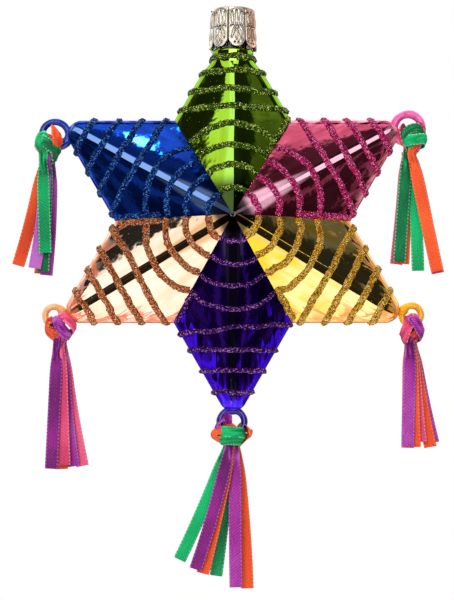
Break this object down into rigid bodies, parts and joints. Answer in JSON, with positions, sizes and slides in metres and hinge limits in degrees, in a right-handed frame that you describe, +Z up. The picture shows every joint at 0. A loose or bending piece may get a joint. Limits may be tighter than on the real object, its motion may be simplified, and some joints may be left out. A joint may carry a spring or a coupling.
{
  "type": "hanging ornament",
  "caption": "Mirrored blown-glass star ornament shaped like a star pinata, with glitter lines, a stamped cap, and ribbon tassels on glass rings.",
  "frame": {"origin": "underside of the hanging wire's crown, the point that a hook bears on", "axes": "+Z up, +X to the right and -Y towards someone who faces the star"},
  "size_m": [0.1032, 0.0284, 0.1384],
  "materials": {
    "clear_glass": "clear blown glass",
    "silvering": "mirror coat",
    "cap_metal": "bright plated sheet with dark recesses",
    "spring_wire": "drawn wire",
    "lacquer_green": "clear coloured lacquer over a mirror",
    "lacquer_pink": "clear coloured lacquer over a mirror",
    "lacquer_gold": "clear coloured lacquer over a mirror",
    "lacquer_purple": "clear coloured lacquer over a mirror",
    "lacquer_rose": "clear coloured lacquer over a mirror",
    "lacquer_blue": "clear coloured lacquer over a mirror",
    "glitter_green": "glitter set in glue",
    "glitter_pink": "glitter set in glue",
    "glitter_gold": "glitter set in glue",
    "glitter_purple": "glitter set in glue",
    "glitter_rose": "glitter set in glue",
    "glitter_blue": "glitter set in glue",
    "ring_pink": "coloured glass rod",
    "ring_gold": "coloured glass rod",
    "ring_purple": "coloured glass rod",
    "ring_rose": "coloured glass rod",
    "ring_blue": "coloured glass rod",
    "ribbon_green": "woven satin with stitched edges",
    "ribbon_purple": "woven satin with stitched edges",
    "ribbon_orange": "woven satin with stitched edges",
    "ribbon_pink": "woven satin with stitched edges"
  },
  "bodies": {
    "star": {"glass_star": "clear_glass", "silver_lining": "silvering", "lacquer_green": "lacquer_green", "lacquer_pink": "lacquer_pink", "lacquer_gold": "lacquer_gold", "lacquer_purple": "lacquer_purple", "lacquer_rose": "lacquer_rose", "lacquer_blue": "lacquer_blue", "glitter_green": "glitter_green", "glitter_pink": "glitter_pink", "glitter_gold": "glitter_gold", "glitter_purple": "glitter_purple", "glitter_rose": "glitter_rose", "glitter_blue": "glitter_blue", "ring_pink": "ring_pink", "ring_gold": "ring_gold", "ring_purple": "ring_purple", "ring_rose": "ring_rose", "ring_blue": "ring_blue", "blue_green_knot": "ribbon_green", "blue_purple_knot": "ribbon_purple", "blue_orange_knot": "ribbon_orange", "pink_green_knot": "ribbon_green", "pink_orange_knot": "ribbon_orange", "pink_pink_knot": "ribbon_pink", "rose_purple_knot": "ribbon_purple", "rose_orange_knot": "ribbon_orange", "rose_pink_knot": "ribbon_pink", "gold_purple_knot": "ribbon_purple", "gold_orange_knot": "ribbon_orange", "gold_pink_knot": "ribbon_pink", "purple_green_knot": "ribbon_green", "purple_purple_knot": "ribbon_purple", "purple_orange_knot": "ribbon_orange"},
    "cap": {"cap": "cap_metal"},
    "hanger": {"hanging_wire": "spring_wire"},
    "tassel_blue": {"blue_green_ends": "ribbon_green", "blue_purple_ends": "ribbon_purple", "blue_orange_ends": "ribbon_orange"},
    "tassel_pink": {"pink_green_ends": "ribbon_green", "pink_orange_ends": "ribbon_orange", "pink_pink_ends": "ribbon_pink"},
    "tassel_rose": {"rose_purple_ends": "ribbon_purple", "rose_orange_ends": "ribbon_orange", "rose_pink_ends": "ribbon_pink"},
    "tassel_gold": {"gold_purple_ends": "ribbon_purple", "gold_orange_ends": "ribbon_orange", "gold_pink_ends": "ribbon_pink"},
    "tassel_purple": {"purple_green_ends": "ribbon_green", "purple_purple_ends": "ribbon_purple", "purple_orange_ends": "ribbon_orange"}
  },
  "joints": [
    {"name": "cap_lift", "type": "slide", "parent": "star", "child": "cap", "axis": [0, 0, 1], "range_m": [0, 0.016]},
    {"name": "hanger_slide", "type": "slide", "parent": "cap", "child": "hanger", "axis": [0, 0, 1], "range_m": [0, 0.007]},
    {"name": "blue_tassel_swing", "type": "hinge", "parent": "star", "child": "tassel_blue", "pos_m": [-0.0448, 0, -0.0367], "axis": [1, 0, 0], "range_deg": [-75, 75]},
    {"name": "pink_tassel_swing", "type": "hinge", "parent": "star", "child": "tassel_pink", "pos_m": [0.0427, 0, -0.0349], "axis": [1, 0, 0], "range_deg": [-75, 75]},
    {"name": "rose_tassel_swing", "type": "hinge", "parent": "star", "child": "tassel_rose", "pos_m": [-0.0414, 0, -0.0806], "axis": [1, 0, 0], "range_deg": [-75, 75]},
    {"name": "gold_tassel_swing", "type": "hinge", "parent": "star", "child": "tassel_gold", "pos_m": [0.0423, 0, -0.0801], "axis": [1, 0, 0], "range_deg": [-75, 75]},
    {"name": "purple_tassel_swing", "type": "hinge", "parent": "star", "child": "tassel_purple", "pos_m": [-0.0004, 0, -0.1046], "axis": [1, 0, 0], "range_deg": [-75, 75]}
  ]
}
